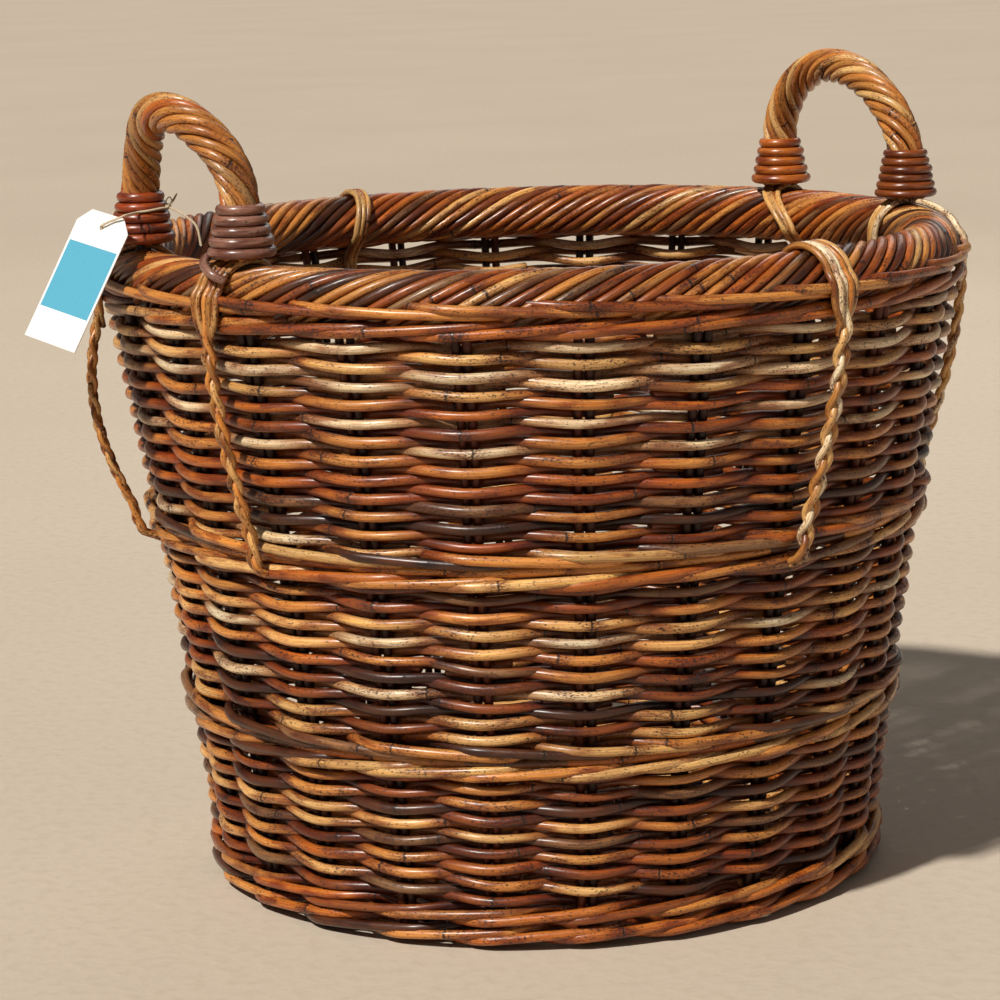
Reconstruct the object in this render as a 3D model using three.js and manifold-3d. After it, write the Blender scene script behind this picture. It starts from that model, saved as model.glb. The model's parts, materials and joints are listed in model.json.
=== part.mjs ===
// Round wicker log basket with two rope-twist handles, braided ties and a swing tag.
// Millimetres, +Z up. The origin is on the floor, at the middle of the base.
import * as THREE from "three";
import { mergeVertices } from "three/addons/utils/BufferGeometryUtils.js";
import Module from "manifold-3d";

const wasm = await Module();
wasm.setup();

// ---------- driving dimensions ----------
const GAP = 0.3; // clearance between neighbouring pieces
const FLOOR_RADIUS = 229.5; // outside of the wall at the floor
const WALL_SLOPE = 0.105; // how fast the wall opens at the floor
const WALL_FLARE = 0.000117; // how much faster it opens higher up, per mm
const WALL_THICKNESS = 20; // weaver, stake, weaver
const RING_SEGMENTS = 48; // facets round every woven ring

const STAKE_PAIRS = 24;
const STAKE_FIRST_AZIMUTH = 6.3;
const STAKE_THICKNESS = 5.6;
const PAIR_WIDTH = 12;
const STAKE_TOP = 392;
const STAKE_TAIL_RADIUS = 165; // where the stake's tail starts inside the base
const STAKE_TAIL_HEIGHT = 4.4;
const STAKE_BEND = 9; // radius of the bend from the base up into the wall

const BASE_HEIGHT = 16;
const HUB_LENGTH = 92;
const STICKS_PER_CROSS = 6;
const STICK_WIDTH = 11;
const STICK_PINCH = 1.5; // the sticks are this much narrower where they leave the bundle as spokes
const SPOKE_OVERLAP = 4; // length of each spoke inside its bundle
const SPOKE_TIP_CLEARANCE = 2; // between a spoke's tip and the wall
const SPOKE_WIDTH = 7;
const SPOKE_BOTTOM = 7.6;
const SPOKE_TOP = 13.8;
const SLIT_BOTTOM = 5;
const SLIT_TOP = 14.4;
const WEAVE_INNER_RADIUS = 58;

const BAND_TOPS = [31, 112, 138, 236, 264, 389]; // upper edge of each woven band, from the floor
const BAND_NAMES = [
  "foot_waling", "lower_weave", "lower_waling", "middle_weave", "middle_waling", "upper_weave",
];
const WALING_BULGE = 5; // how far a waling band stands out from the weave

const RIM_RADIUS = 268;
const RIM_HEIGHT = 416;
const ROPE_RADIUS = 20; // thickness of the rope border is twice this
const HOOP_RADIUS = 8; // hoop inside the rope border
const TOP_WALING_RADIUS = 291;
const TOP_WALING_TOP = 419.5;

const HANDLES = [ // legs in order of rising azimuth; lean is outwards at the top
  { name: "left_handle", azimuth: -144.75, halfSpread: 13.75, lean: 17, legs: ["back", "front"] },
  { name: "right_handle", azimuth: 29.5, halfSpread: 16.6, lean: -3, legs: ["front", "back"] },
];
const HANDLE_CORE_RADIUS = 5;
const HANDLE_ROPE_RADIUS = 12;
const HANDLE_TOP = 540;
const HANDLE_STEPS = 18; // facets along a handle
const SOCKET_BOTTOM = 400; // lower end of the handle's core, inside the rope border
const WRAP_BOTTOM = 440.3;
const WRAP_TOP = 473;
const WRAP_BOTTOM_RADIUS = 19.5;
const WRAP_TOP_RADIUS = 14.6;

const TIE_THICKNESS = 5;
const FAN_THICKNESS = 3.2;
const TIE_CLEARANCE = 1; // between a tie and the rim it passes over
const BRAID_CURVE = 1.5; // above 1, the braid runs in towards the wall late
const FAN_WIDTH = 19; // the tie where it lies fanned out over the rim
const BRAID_WIDTH = 11;
const FAN_BOTTOM = 375;
const BRAID_BOTTOM = 246; // over the upper edge of the middle waling
const SIDE_TIES = [
  { name: "front_side_tie", azimuth: -50.5 },
  { name: "back_side_tie", azimuth: 119 },
];
const TIE_START = 200; // angle round the rope border, from its outside, where a tie starts
const TIE_SLACK = { left_handle_back: 14 }; // extra sag outwards half way down the braid

const TAG_LEG_AZIMUTH = HANDLES[0].azimuth - HANDLES[0].halfSpread; // the tag hangs on this leg
const TAG_AZIMUTH = -133; // the way the tag faces
const TAG_LEAN = 28.5;
const TAG_ROLL = 8.4;
const TAG_WIDTH = 55;
const TAG_ABOVE_HOLE = 9.2;
const TAG_BELOW_HOLE = 81.6;
const TAG_CORNER_CUT = [10.5, 9.1];
const TAG_THICKNESS = 0.6;
const TAG_HOLE_RADIUS = 2.5;
const TAG_HOLE_REACH = 32.6; // from the leg's axis to the hole
const TAG_HOLE_HEIGHT = 452.8;
const STRING_RADIUS = 0.8;
const STRING_LOOP_RADIUS = 18.6; // round the wrapped leg
const KNOT_RADIUS = 2.6;
const KNOT_AZIMUTH = -15;
const KNOT_HEIGHT = 463;

const COLOURS = {
  stake: 0x4a2f1c, stick: 0x8a5f38, weave: 0xb9854c, waling: 0xa56c35, rope: 0x9c6534,
  handle: 0xb27b45, wrap: 0x7b4426, tie: 0xc39a66, string: 0xd9cbb0, card: 0xf4f2ec,
};

// ---------- small helpers ----------
const radians = THREE.MathUtils.degToRad;
const outerRadius = (z) => FLOOR_RADIUS + WALL_SLOPE * z + WALL_FLARE * z * z;
const innerRadius = (z) => outerRadius(z) - WALL_THICKNESS;
const stakeRadius = (z) => outerRadius(z) - WALL_THICKNESS / 2;
const polar = (radius, azimuth, z) => new THREE.Vector3(
  radius * Math.cos(radians(azimuth)), radius * Math.sin(radians(azimuth)), z);

function solidOf(geometry) {
  const bare = geometry.clone();
  bare.deleteAttribute("normal");
  bare.deleteAttribute("uv");
  const merged = mergeVertices(bare, 1e-4);
  return new wasm.Manifold(new wasm.Mesh({
    numProp: 3,
    vertProperties: new Float32Array(merged.attributes.position.array),
    triVerts: new Uint32Array(merged.index.array),
  }));
}

function geometryOf(solid) {
  const mesh = solid.getMesh();
  const geometry = new THREE.BufferGeometry();
  geometry.setAttribute("position", new THREE.BufferAttribute(mesh.vertProperties, 3));
  geometry.setIndex(new THREE.BufferAttribute(mesh.triVerts, 1));
  geometry.computeVertexNormals();
  return geometry;
}

const joined = (solids) => solids.reduce((all, next) => all.add(next));

// A ring of revolution about +Z from its cross-section, listed anticlockwise as [radius, z].
function ring(section, segments = RING_SEGMENTS) {
  const points = [...section, section[0]].map(([r, z]) => new THREE.Vector2(r, z));
  return new THREE.LatheGeometry(points, segments).rotateX(Math.PI / 2);
}

// A plate with its outline in the radial plane, listed as [radius, z], centred on its azimuth.
function radialPlate(outline, width, azimuth) {
  const shape = new THREE.Shape(outline.map(([r, z]) => new THREE.Vector2(r, z)));
  const plate = new THREE.ExtrudeGeometry(shape, { depth: width, bevelEnabled: false });
  plate.translate(0, 0, -width / 2);
  plate.rotateX(Math.PI / 2);
  return plate.rotateZ(radians(azimuth));
}

// The outline of a strip that follows a centre line.
function stripOutline(line, thickness) {
  const left = [];
  const right = [];
  line.forEach(([x, y], i) => {
    const [beforeX, beforeY] = line[Math.max(i - 1, 0)];
    const [afterX, afterY] = line[Math.min(i + 1, line.length - 1)];
    const length = Math.hypot(afterX - beforeX, afterY - beforeY);
    const offsetX = (-(afterY - beforeY) / length) * (thickness / 2);
    const offsetY = ((afterX - beforeX) / length) * (thickness / 2);
    left.push([x + offsetX, y + offsetY]);
    right.push([x - offsetX, y - offsetY]);
  });
  return [...right, ...left.reverse()];
}

function circleShape(radius, points = 8) {
  return new THREE.Shape(Array.from({ length: points }, (_, i) => {
    const angle = (2 * Math.PI * i) / points;
    return new THREE.Vector2(radius * Math.cos(angle), radius * Math.sin(angle));
  }));
}

function tube(curve, steps, shape) {
  return new THREE.ExtrudeGeometry(shape, { steps, extrudePath: curve });
}

const group = new THREE.Group();
function place(name, geometry, colour, roughness = 0.5) {
  const material = new THREE.MeshStandardMaterial({ color: colour, roughness, metalness: 0 });
  const mesh = new THREE.Mesh(geometry, material);
  mesh.name = name;
  group.add(mesh);
  return mesh;
}

// ---------- stakes: pairs of uprights whose tails are pushed into the base ----------
const stakeAzimuths = Array.from(
  { length: STAKE_PAIRS }, (_, i) => STAKE_FIRST_AZIMUTH + (i * 360) / STAKE_PAIRS);

function stakeLine(topHeight) {
  const bend = STAKE_BEND;
  const foot = stakeRadius(STAKE_TAIL_HEIGHT + bend);
  const line = [[STAKE_TAIL_RADIUS, STAKE_TAIL_HEIGHT]];
  for (const turn of [0, 30, 60, 90]) {
    line.push([
      foot - bend + bend * Math.sin(radians(turn)),
      STAKE_TAIL_HEIGHT + bend - bend * Math.cos(radians(turn)),
    ]);
  }
  const rises = 4;
  for (let i = 1; i <= rises; i++) {
    const z = STAKE_TAIL_HEIGHT + bend + ((topHeight - STAKE_TAIL_HEIGHT - bend) * i) / rises;
    line.push([stakeRadius(z), z]);
  }
  return line;
}

const stakeGeometry = (azimuth) => radialPlate(
  stripOutline(stakeLine(STAKE_TOP), STAKE_THICKNESS), PAIR_WIDTH, azimuth);
const stakeChannel = (azimuth) => radialPlate(
  stripOutline(stakeLine(STAKE_TOP + GAP), STAKE_THICKNESS + 2 * GAP), PAIR_WIDTH + 2 * GAP, azimuth);
const stakeChannels = joined(stakeAzimuths.map((azimuth) => solidOf(stakeChannel(azimuth))));

stakeAzimuths.forEach((azimuth, i) => {
  place(`stake_pair_${String(i + 1).padStart(2, "0")}`, stakeGeometry(azimuth), COLOURS.stake);
});

// ---------- base: two crossed bundles of sticks that fan out into spokes, woven round ----------
function box(width, depth, low, high) {
  return new THREE.BoxGeometry(width, depth, high - low).translate(0, 0, (low + high) / 2);
}

// One bundle of sticks along X, fanned out at both ends; grow widens it to cut its channel.
function stickBundle(hubLow, hubHigh, grow = 0) {
  const bundleWidth = STICKS_PER_CROSS * STICK_WIDTH;
  const pieces = [box(HUB_LENGTH + 2 * grow, bundleWidth + 2 * grow, hubLow, hubHigh)];
  for (let end = 0; end < 2; end++) {
    for (let i = 0; i < STICKS_PER_CROSS; i++) {
      const side = i - (STICKS_PER_CROSS - 1) / 2;
      const angle = radians((side * 360) / STAKE_PAIRS);
      const start = new THREE.Vector2(HUB_LENGTH / 2 - SPOKE_OVERLAP, side * (STICK_WIDTH - STICK_PINCH));
      const reach = innerRadius(0) - SPOKE_TIP_CLEARANCE;
      const tip = new THREE.Vector2(reach * Math.cos(angle), reach * Math.sin(angle));
      const run = tip.clone().sub(start);
      const spoke = box(run.length(), SPOKE_WIDTH + 2 * grow, SPOKE_BOTTOM - grow, SPOKE_TOP + grow);
      spoke.rotateZ(run.angle());
      spoke.translate((start.x + tip.x) / 2, (start.y + tip.y) / 2, 0);
      pieces.push(spoke.rotateZ(end * Math.PI));
    }
  }
  return joined(pieces.map(solidOf));
}

const baseTurn = STAKE_FIRST_AZIMUTH - 180 / STAKE_PAIRS;
const slit = solidOf(box(
  STICKS_PER_CROSS * STICK_WIDTH + 2 * GAP, HUB_LENGTH, SLIT_BOTTOM - GAP, SLIT_TOP + GAP));
const splitSticks = stickBundle(0, BASE_HEIGHT).subtract(slit);
const threadedSticks = stickBundle(SLIT_BOTTOM, SLIT_TOP).rotate([0, 0, 90]);
place("base_split_sticks", geometryOf(splitSticks.rotate([0, 0, baseTurn])), COLOURS.stick);
place("base_threaded_sticks", geometryOf(threadedSticks.rotate([0, 0, baseTurn])), COLOURS.stick);

const spokeChannels = stickBundle(SLIT_BOTTOM, SLIT_TOP, GAP)
  .add(stickBundle(SLIT_BOTTOM, SLIT_TOP, GAP).rotate([0, 0, 90]))
  .rotate([0, 0, baseTurn]);
const baseDisc = solidOf(ring([
  [WEAVE_INNER_RADIUS, 0],
  [innerRadius(0) - GAP, 0],
  [innerRadius(0) - GAP, BASE_HEIGHT],
  [WEAVE_INNER_RADIUS, BASE_HEIGHT],
], STAKE_PAIRS));
place("base_weave", geometryOf(baseDisc.subtract(spokeChannels).subtract(stakeChannels)), COLOURS.weave);

// ---------- wall: rings of weaving with a channel for every stake pair ----------
function bandSection(low, high, bulge) {
  const middle = (low + high) / 2;
  const crest = bulge > 0 ? [[outerRadius(middle) + bulge, middle]] : [];
  return [
    [innerRadius(low), low],
    [outerRadius(low) + bulge / 2, low],
    ...crest,
    [outerRadius(high) + bulge / 2, high],
    [innerRadius(high), high],
  ];
}

BAND_NAMES.forEach((name, i) => {
  const low = i === 0 ? 0 : BAND_TOPS[i - 1] + GAP;
  const waling = name.endsWith("waling");
  const band = solidOf(ring(bandSection(low, BAND_TOPS[i], waling ? WALING_BULGE : 0)));
  place(name, geometryOf(band.subtract(stakeChannels)), waling ? COLOURS.waling : COLOURS.weave);
});

// ---------- rim: rope border laid on a waling that cradles it from outside ----------
function ropeArc(radius, fromDegrees, toDegrees, steps) {
  return Array.from({ length: steps + 1 }, (_, i) => {
    const angle = radians(fromDegrees + ((toDegrees - fromDegrees) * i) / steps);
    return [RIM_RADIUS + radius * Math.cos(angle), RIM_HEIGHT + radius * Math.sin(angle)];
  });
}

const topWalingLow = BAND_TOPS.at(-1) + GAP;
const cradleRadius = ROPE_RADIUS + 2 * GAP;
const cradleTop = THREE.MathUtils.radToDeg(Math.asin((TOP_WALING_TOP - RIM_HEIGHT) / cradleRadius));
const cradle = ropeArc(cradleRadius, cradleTop, -100, 5);
const topWaling = solidOf(ring([
  [innerRadius(topWalingLow), topWalingLow],
  [TOP_WALING_RADIUS - 2, topWalingLow],
  [TOP_WALING_RADIUS, (topWalingLow + TOP_WALING_TOP) / 2],
  [TOP_WALING_RADIUS - 1, TOP_WALING_TOP],
  ...cradle,
]));
place("top_waling", geometryOf(topWaling.subtract(stakeChannels)), COLOURS.waling);

const legAzimuths = HANDLES.flatMap(
  ({ azimuth, halfSpread }) => [azimuth - halfSpread, azimuth + halfSpread]);

function cylinder(radius, low, high, azimuth) {
  const upright = new THREE.CylinderGeometry(radius, radius, high - low, 12).rotateX(Math.PI / 2);
  const foot = polar(RIM_RADIUS, azimuth, (low + high) / 2);
  return upright.translate(foot.x, foot.y, foot.z);
}

const sockets = joined(legAzimuths.map((azimuth) => solidOf(
  cylinder(HANDLE_CORE_RADIUS + GAP, SOCKET_BOTTOM - GAP, HANDLE_TOP, azimuth))));
const ropeSolid = solidOf(ring(ropeArc(ROPE_RADIUS, 0, 315, 7)));
const hoopBore = solidOf(ring(ropeArc(HOOP_RADIUS + GAP, 0, 288, 4)));
const hoop = solidOf(ring(ropeArc(HOOP_RADIUS, 0, 288, 4)));
place("rim_rope", geometryOf(ropeSolid.subtract(hoopBore).subtract(sockets)), COLOURS.rope);
place("rim_hoop", geometryOf(hoop.subtract(sockets)), COLOURS.stick);

// ---------- handles: a bent core in two sockets, a rope sleeve over it, a wrap on each leg ----------
function handleCurve({ azimuth, halfSpread, lean }, bottom) {
  const chordRadius = RIM_RADIUS * Math.cos(radians(halfSpread));
  const halfChord = RIM_RADIUS * Math.sin(radians(halfSpread));
  const archHeight = HANDLE_TOP - HANDLE_ROPE_RADIUS - WRAP_TOP;
  const outwards = polar(1, azimuth, 0);
  const along = polar(1, azimuth + 90, 0);
  const point = (side, z) => {
    const rise = Math.max(0, z - WRAP_TOP) / archHeight;
    const radius = chordRadius + lean * rise ** 2;
    return outwards.clone().multiplyScalar(radius).addScaledVector(along, side * halfChord).setZ(z);
  };
  const points = [point(-1, bottom), point(-1, (bottom + WRAP_TOP) / 2)];
  const archSteps = 10;
  for (let i = 0; i <= archSteps; i++) {
    const angle = (Math.PI * i) / archSteps;
    points.push(point(-Math.cos(angle), WRAP_TOP + archHeight * Math.sin(angle)));
  }
  points.push(point(1, (bottom + WRAP_TOP) / 2), point(1, bottom));
  return new THREE.CatmullRomCurve3(points, false, "centripetal");
}

const wrapSection = [
  [HANDLE_ROPE_RADIUS + GAP, WRAP_BOTTOM],
  [WRAP_BOTTOM_RADIUS, WRAP_BOTTOM],
  [WRAP_TOP_RADIUS, WRAP_TOP],
  [HANDLE_ROPE_RADIUS + GAP, WRAP_TOP],
];

HANDLES.forEach((handle) => {
  const path = handleCurve(handle, SOCKET_BOTTOM);
  const core = tube(path, HANDLE_STEPS, circleShape(HANDLE_CORE_RADIUS));
  const bore = tube(path, HANDLE_STEPS, circleShape(HANDLE_CORE_RADIUS + GAP));
  const sleeve = tube(handleCurve(handle, WRAP_BOTTOM), HANDLE_STEPS, circleShape(HANDLE_ROPE_RADIUS));
  place(`${handle.name}_core`, core, COLOURS.stick);
  place(`${handle.name}_rope`, geometryOf(solidOf(sleeve).subtract(solidOf(bore))), COLOURS.handle);
});

// ---------- ties: strands over the rim that gather into a braid down to the middle waling ----------
function braidLine(slack) {
  const steps = 5;
  const topRadius = TOP_WALING_RADIUS + TIE_CLEARANCE + TIE_THICKNESS / 2;
  const topHeight = RIM_HEIGHT - 4;
  const bottomRadius = outerRadius(BRAID_BOTTOM) + WALING_BULGE + 2 * TIE_CLEARANCE + TIE_THICKNESS / 2;
  return Array.from({ length: steps + 1 }, (_, i) => {
    const part = i / steps;
    const z = THREE.MathUtils.lerp(topHeight, BRAID_BOTTOM, part);
    const sag = slack * Math.sin(Math.PI * part);
    return [THREE.MathUtils.lerp(topRadius, bottomRadius, part ** BRAID_CURVE) + sag, z];
  });
}

// Centre line of the fan, from its angle round the rope border down to the outside of the rim.
function overRim(fromDegrees) {
  const steps = 9;
  const across = TOP_WALING_RADIUS - RIM_RADIUS + TIE_CLEARANCE + TIE_THICKNESS / 2;
  const above = ROPE_RADIUS + TIE_CLEARANCE / 2 + FAN_THICKNESS / 2;
  return Array.from({ length: steps }, (_, i) => {
    const angle = radians(fromDegrees * (1 - i / steps));
    return [RIM_RADIUS + across * Math.cos(angle), RIM_HEIGHT + above * Math.sin(angle)];
  });
}

function tie(azimuth, slack) {
  const braid = braidLine(slack);
  const fan = [...overRim(TIE_START), ...braid.filter(([, z]) => z > FAN_BOTTOM)];
  const fanSolid = solidOf(radialPlate(stripOutline(fan, FAN_THICKNESS), FAN_WIDTH, azimuth));
  return fanSolid.add(solidOf(radialPlate(stripOutline(braid, TIE_THICKNESS), BRAID_WIDTH, azimuth)));
}

HANDLES.forEach(({ name, azimuth, halfSpread, legs }) => {
  legs.forEach((leg, i) => {
    const legAzimuth = azimuth + (2 * i - 1) * halfSpread;
    const foot = polar(RIM_RADIUS, legAzimuth, 0);
    const wrap = ring(wrapSection, 20).translate(foot.x, foot.y, 0);
    const slack = TIE_SLACK[`${name}_${leg}`] ?? 1;
    place(`${name}_${leg}_wrap`, wrap, COLOURS.wrap, 0.35);
    const legTie = tie(legAzimuth, slack).subtract(sockets);
    place(`${name}_${leg}_tie`, geometryOf(legTie), COLOURS.tie);
  });
});
SIDE_TIES.forEach(({ name, azimuth }) => {
  place(name, geometryOf(tie(azimuth, 1)), COLOURS.tie);
});

// ---------- swing tag on a string round the back leg of the left handle ----------
const tagLeg = polar(RIM_RADIUS, TAG_LEG_AZIMUTH, 0);
const tagHole = tagLeg.clone().add(polar(TAG_HOLE_REACH, TAG_AZIMUTH, TAG_HOLE_HEIGHT));
const tagTurn = new THREE.Euler(radians(-TAG_ROLL), radians(-TAG_LEAN), radians(TAG_AZIMUTH), "ZYX");

function card() {
  const half = TAG_WIDTH / 2;
  const [cutAcross, cutDown] = TAG_CORNER_CUT;
  const shape = new THREE.Shape([
    new THREE.Vector2(-half, -TAG_BELOW_HOLE),
    new THREE.Vector2(half, -TAG_BELOW_HOLE),
    new THREE.Vector2(half, TAG_ABOVE_HOLE - cutDown),
    new THREE.Vector2(half - cutAcross, TAG_ABOVE_HOLE),
    new THREE.Vector2(cutAcross - half, TAG_ABOVE_HOLE),
    new THREE.Vector2(-half, TAG_ABOVE_HOLE - cutDown),
  ]);
  shape.holes.push(new THREE.Path(circleShape(TAG_HOLE_RADIUS, 16).getPoints()));
  const plate = new THREE.ExtrudeGeometry(shape, { depth: TAG_THICKNESS, bevelEnabled: false });
  plate.translate(0, 0, -TAG_THICKNESS / 2);
  return plate.rotateX(Math.PI / 2).rotateZ(Math.PI / 2); // the card's face looks along +X
}
const tag = place("tag", card(), COLOURS.card, 0.6);
tag.position.copy(tagHole);
tag.rotation.copy(tagTurn);

// The loop leaves the knot, passes behind the leg and through the card, and comes back in front.
function tagString() {
  const round = (azimuth, z) => tagLeg.clone().add(polar(STRING_LOOP_RADIUS, azimuth, z));
  const onCard = (out, across, up) => new THREE.Vector3(out, across, up)
    .applyEuler(tagTurn).add(tagHole);
  const knot = round(KNOT_AZIMUTH, KNOT_HEIGHT);
  const loop = new THREE.CatmullRomCurve3([
    knot,
    round(40, 463),
    round(95, 462),
    round(150, 460),
    round(193, 458),
    onCard(-6.8, -0.6, 0.4),
    onCard(-2.5, 0, 0),
    onCard(1.2, 0, 0),
    onCard(2.4, 3, 1.6),
    onCard(2.2, 10, 6),
    onCard(1.8, 18.5, 11),
    round(-90, 461),
    round(-62, 462),
    round(-38, 462.5),
    knot.clone().add(new THREE.Vector3(0, 0, -1)),
  ], false, "centripetal");
  const end = knot.clone().add(polar(34, -48, 439.6 - KNOT_HEIGHT));
  const loose = new THREE.CatmullRomCurve3([
    knot,
    knot.clone().add(polar(13, -42, -4)),
    knot.clone().add(polar(27, -44, -11)),
    end,
  ], false, "centripetal");
  const bead = new THREE.SphereGeometry(KNOT_RADIUS, 8, 5).translate(knot.x, knot.y, knot.z);
  const cord = circleShape(STRING_RADIUS, 5);
  return joined([solidOf(tube(loop, 36, cord)), solidOf(tube(loose, 8, cord)), solidOf(bead)]);
}
place("tag_string", geometryOf(tagString()), COLOURS.string, 0.9);

export default group;
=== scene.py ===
"""Wicker log basket: every rod, tie, string and card of it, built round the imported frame.

Lengths are in millimetres and angles in degrees until a mesh is made, which is in metres.
"""
import json
import math

import bpy
import numpy as np
from mathutils import Matrix, Vector
from mathutils.geometry import delaunay_2d_cdt


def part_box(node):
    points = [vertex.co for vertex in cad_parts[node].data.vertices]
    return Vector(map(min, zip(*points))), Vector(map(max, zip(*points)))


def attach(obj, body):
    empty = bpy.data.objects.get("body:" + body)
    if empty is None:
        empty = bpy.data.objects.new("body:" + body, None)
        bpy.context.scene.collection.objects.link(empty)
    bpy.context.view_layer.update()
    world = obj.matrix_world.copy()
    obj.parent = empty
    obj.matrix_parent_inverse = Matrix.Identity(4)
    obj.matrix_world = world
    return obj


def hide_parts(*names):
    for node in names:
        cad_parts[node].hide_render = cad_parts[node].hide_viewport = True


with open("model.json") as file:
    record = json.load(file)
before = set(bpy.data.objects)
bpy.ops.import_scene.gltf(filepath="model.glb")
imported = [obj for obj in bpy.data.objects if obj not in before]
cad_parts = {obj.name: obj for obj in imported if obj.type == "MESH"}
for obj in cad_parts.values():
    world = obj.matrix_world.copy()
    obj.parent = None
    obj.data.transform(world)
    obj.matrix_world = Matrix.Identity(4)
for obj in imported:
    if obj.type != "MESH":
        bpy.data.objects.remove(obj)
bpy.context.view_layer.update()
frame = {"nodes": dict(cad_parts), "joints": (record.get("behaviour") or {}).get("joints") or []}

MM = 0.001
UP = np.array([0.0, 0.0, 1.0])


# ---------- what the frame says ----------
def box_mm(node):
    """Lowest and highest corner of a CAD node, in millimetres."""
    low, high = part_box(node)
    return np.array(low) / MM, np.array(high) / MM


def points_mm(node):
    return np.array([v.co for v in frame["nodes"][node].data.vertices]) / MM


def joint(name):
    found = next(j for j in frame["joints"] if j["name"] == name)
    return np.array(found["pos_m"]) / MM, np.array(found["axis"])


def azimuth_of(point):
    return math.degrees(math.atan2(point[1], point[0]))


wall_tops = [box_mm(node)[1] for node in ("lower_weave", "middle_weave", "upper_weave")]
wall_profile = np.polyfit([top[2] for top in wall_tops], [top[0] for top in wall_tops], 2)
WALL_HALF = 10.0  # half the wall's thickness: the stakes stand this far inside its outer face
stake_nodes = sorted(node for node in frame["nodes"] if node.startswith("stake_pair_"))
stake_low, stake_high = box_mm(stake_nodes[0])
FIRST_STAKE = azimuth_of((stake_low + stake_high) / 2)
STAKES = len(stake_nodes)
STAKE_SPACING = 360 / STAKES
STAKE_RADIUS = 3.1

rope_low, rope_high = box_mm("rim_rope")
RIM_HALF = (rope_high[2] - rope_low[2]) / 2
RIM_HEIGHT = (rope_high[2] + rope_low[2]) / 2
RIM_RADIUS = rope_high[0] - RIM_HALF


def wall_outer(z):
    return np.polyval(wall_profile, z)


def wall_middle(z):
    return wall_outer(z) - WALL_HALF


def ring_points(azimuth, radius, z):
    """Points in space from azimuth, radius and height, which may each be a number or an array."""
    angle = np.radians(azimuth)
    flat = np.broadcast_arrays(radius * np.cos(angle), radius * np.sin(angle), z)
    return np.stack(flat, axis=-1)


def smooth_step(low, high, value):
    t = np.clip((value - low) / (high - low), 0, 1)
    return t * t * (3 - 2 * t)


def distance_along(line):
    return np.concatenate([[0.0], np.cumsum(np.linalg.norm(np.diff(line, axis=0), axis=1))])


def spline(points, count):
    """A smooth line through the points."""
    points = np.asarray(points, float)
    padded = np.vstack([2 * points[0] - points[1], points, 2 * points[-1] - points[-2]])
    distance = distance_along(points)
    result = []
    for value in np.linspace(0, distance[-1], count):
        i = min(int(np.searchsorted(distance, value, side="right")) - 1, len(points) - 2)
        t = (value - distance[i]) / (distance[i + 1] - distance[i])
        a, b, c, d = padded[i:i + 4]
        result.append(0.5 * (2 * b + (c - a) * t + (2 * a - 5 * b + 4 * c - d) * t**2
                             + (3 * b - a - 3 * c + d) * t**3))
    return np.array(result)


def near_ends(along, span):
    """1 at both ends of a growing row of numbers, falling to 0 over that span from each."""
    return 1 - smooth_step(along[0], along[0] + span, along) + smooth_step(along[-1] - span, along[-1], along)


def wander(random, count, amount, knots):
    """A smooth random curve of that many values."""
    values = random.normal(0, amount, knots)
    return np.interp(np.linspace(0, knots - 1, count), np.arange(knots), values)


# ---------- putting things in the scene ----------
def add_object(name, data):
    made = bpy.data.objects.new(name, data)
    bpy.context.scene.collection.objects.link(made)
    return made


def add_piece(name, mesh, nodes, body):
    """Fixes a new piece to its body and puts it in the place of the CAD nodes."""
    made = add_object(name, mesh)
    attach(made, body)
    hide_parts(*nodes)


def add_vectors(mesh, name, values):
    attribute = mesh.attributes.new(name, "FLOAT_VECTOR", "POINT")
    attribute.data.foreach_set("vector", values.astype(np.float32).ravel())


# ---------- colours ----------
def linear(hex_colour):
    parts = np.array([hex_colour >> 16 & 255, hex_colour >> 8 & 255, hex_colour & 255]) / 255
    return np.where(parts <= 0.04045, parts / 12.92, ((parts + 0.055) / 1.055) ** 2.4)


def paint(hex_colour):
    return (*linear(hex_colour), 1.0)


TONES = {
    "bleached": 0xEDD9B4,
    "straw": 0xD9AC6C,
    "honey": 0xC68742,
    "amber": 0xB46624,
    "chestnut": 0x8A4818,
    "walnut": 0x502A12,
    "rust": 0xA04A1C,
    "ash": 0x84603E,
    "mauve": 0x90695A,
}
WEAVE_TONES = {"bleached": 1, "straw": 4, "honey": 6, "amber": 5, "chestnut": 4, "walnut": 2, "ash": 1}
PALE_TONES = {"bleached": 5, "straw": 6, "honey": 2, "ash": 1}
WALING_TONES = {"straw": 3, "honey": 5, "amber": 5, "chestnut": 3, "walnut": 2, "ash": 2}
ROPE_TONES = {"straw": 2, "honey": 5, "amber": 4, "chestnut": 4, "walnut": 3, "ash": 3}
HANDLE_TONES = {"straw": 5, "honey": 8, "amber": 1}
DARK_TONES = {"chestnut": 3, "walnut": 5}
TIE_TONES = {"bleached": 1, "straw": 6, "honey": 4}
LIGHTER = (0.82, 1.16)  # a rod's brightness is a share of its tone's, in this range
REDDER = 0.05  # how far a rod's red rises and its blue falls, at most


def pick_tone(random, tones):
    names = list(tones)
    weights = np.array([tones[name] for name in names], float)
    tone = linear(TONES[names[random.choice(len(names), p=weights / weights.sum())]])
    lighter = random.uniform(*LIGHTER)
    redder = random.uniform(-REDDER, REDDER)
    return tone * lighter * np.array([1 + redder, 1, 1 - redder])


# ---------- painted shade in the hollows between rods -----------
SHADE_TINT = np.array([0.75, 1.2, 1.6])  # how strongly the painted shade takes out red, green and blue, so that it turns redder


def unshaded_share(depth, dark, shade_free, least):
    """The share of its colour a rod keeps under painted shade, at a depth that runs from fully shaded (dark)
    to free of shade.
    """
    return least + (1 - least) * smooth_step(dark, shade_free, depth)


# painted shade: rods darken near the middle of the wall's thickness, in the hollows between the outer strokes
def wall_painted_shade(points):
    from_middle = np.abs(np.hypot(points[:, 0], points[:, 1]) - wall_middle(points[:, 2]))
    return unshaded_share(from_middle, dark=1.0, shade_free=8.5, least=0.3)


# painted shade: the rope's rods darken towards its middle, where they lie under one another
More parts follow.
